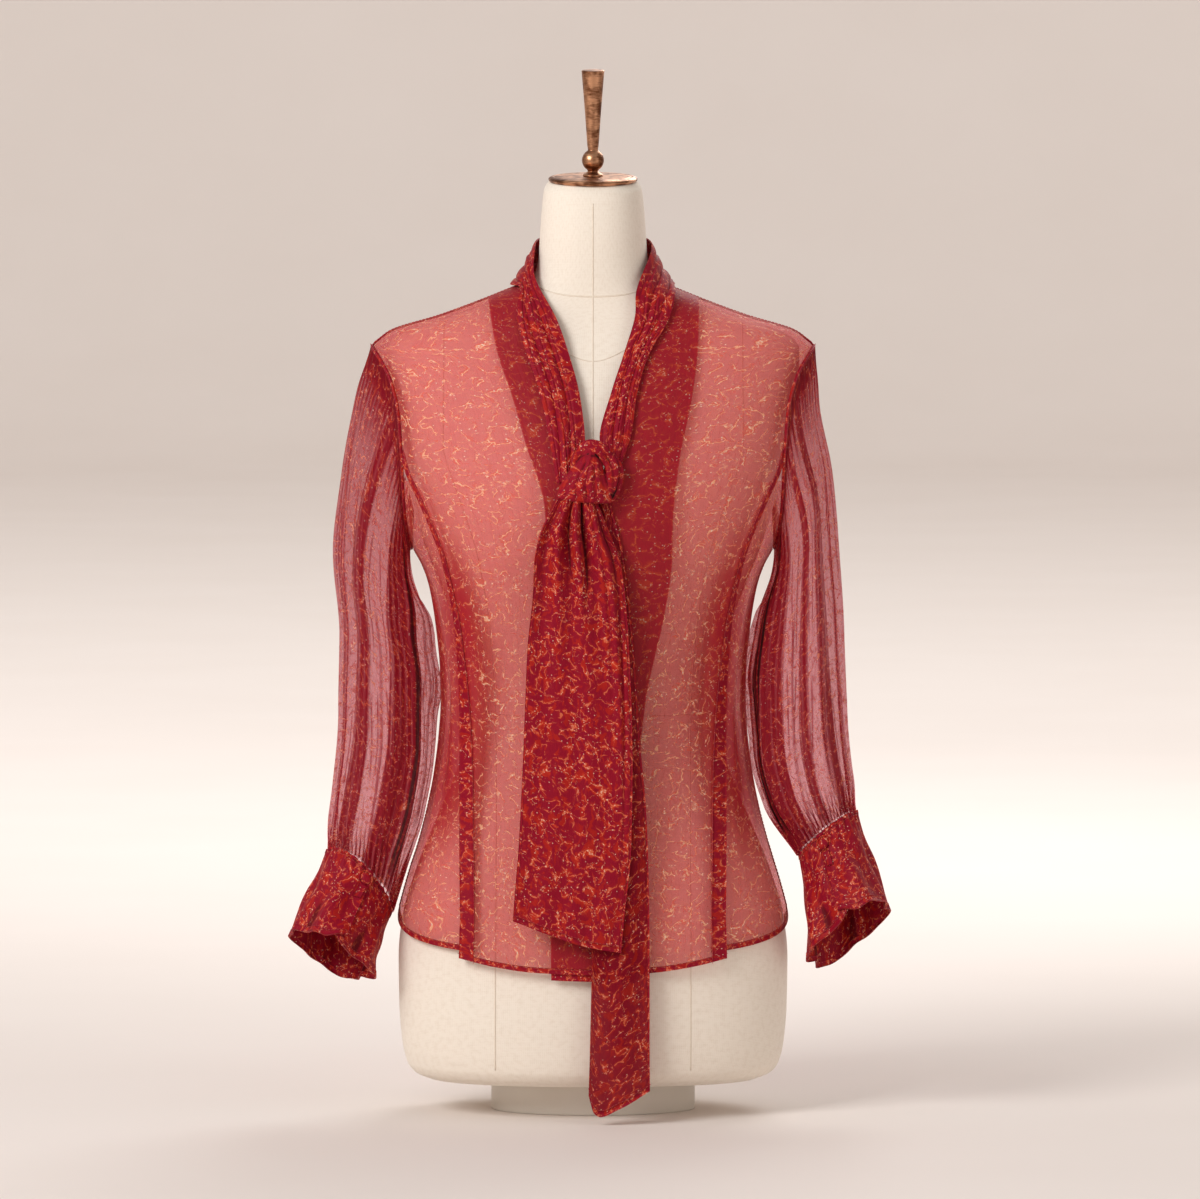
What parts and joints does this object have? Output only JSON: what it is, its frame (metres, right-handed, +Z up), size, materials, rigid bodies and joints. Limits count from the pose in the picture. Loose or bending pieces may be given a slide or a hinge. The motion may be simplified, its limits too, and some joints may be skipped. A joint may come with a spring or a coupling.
{
  "type": "bow blouse on dress form",
  "caption": "Sheer long-sleeved blouse with a tie collar knotted at the chest and flared cuffs, worn on a limbless dress form that stands on a low plinth.",
  "frame": {"origin": "on the surface that the plinth stands on, under the middle of the body from side to side and under the side seams", "axes": "+Z up, the front faces -Y, +X towards the wearer's left"},
  "size_m": [0.5423, 0.2802, 0.9381],
  "materials": {
    "sheer_chiffon": "sheer printed crepe chiffon, one layer",
    "doubled_chiffon": "printed crepe chiffon, two or more layers",
    "linen_cover": "plain woven linen, matt",
    "bronzed_metal": "antique bronze, brushed",
    "painted_wood": "painted, satin"
  },
  "bodies": {
    "root": {"form_body": "linen_cover", "neck_cap": "bronzed_metal", "finial": "bronzed_metal", "plinth": "painted_wood", "centre_front_right": "sheer_chiffon", "centre_front_left": "sheer_chiffon", "side_front_right": "sheer_chiffon", "side_front_left": "sheer_chiffon", "back": "sheer_chiffon", "facing_right": "doubled_chiffon", "facing_left": "doubled_chiffon", "sleeve_right": "sheer_chiffon", "sleeve_left": "sheer_chiffon", "cuff_right": "doubled_chiffon", "cuff_right_button": "doubled_chiffon", "cuff_left": "doubled_chiffon", "cuff_left_button": "doubled_chiffon", "collar_neck": "doubled_chiffon", "collar_knot": "doubled_chiffon", "tie_end_wide": "doubled_chiffon", "tie_end_long": "doubled_chiffon"}
  },
  "joints": []
}
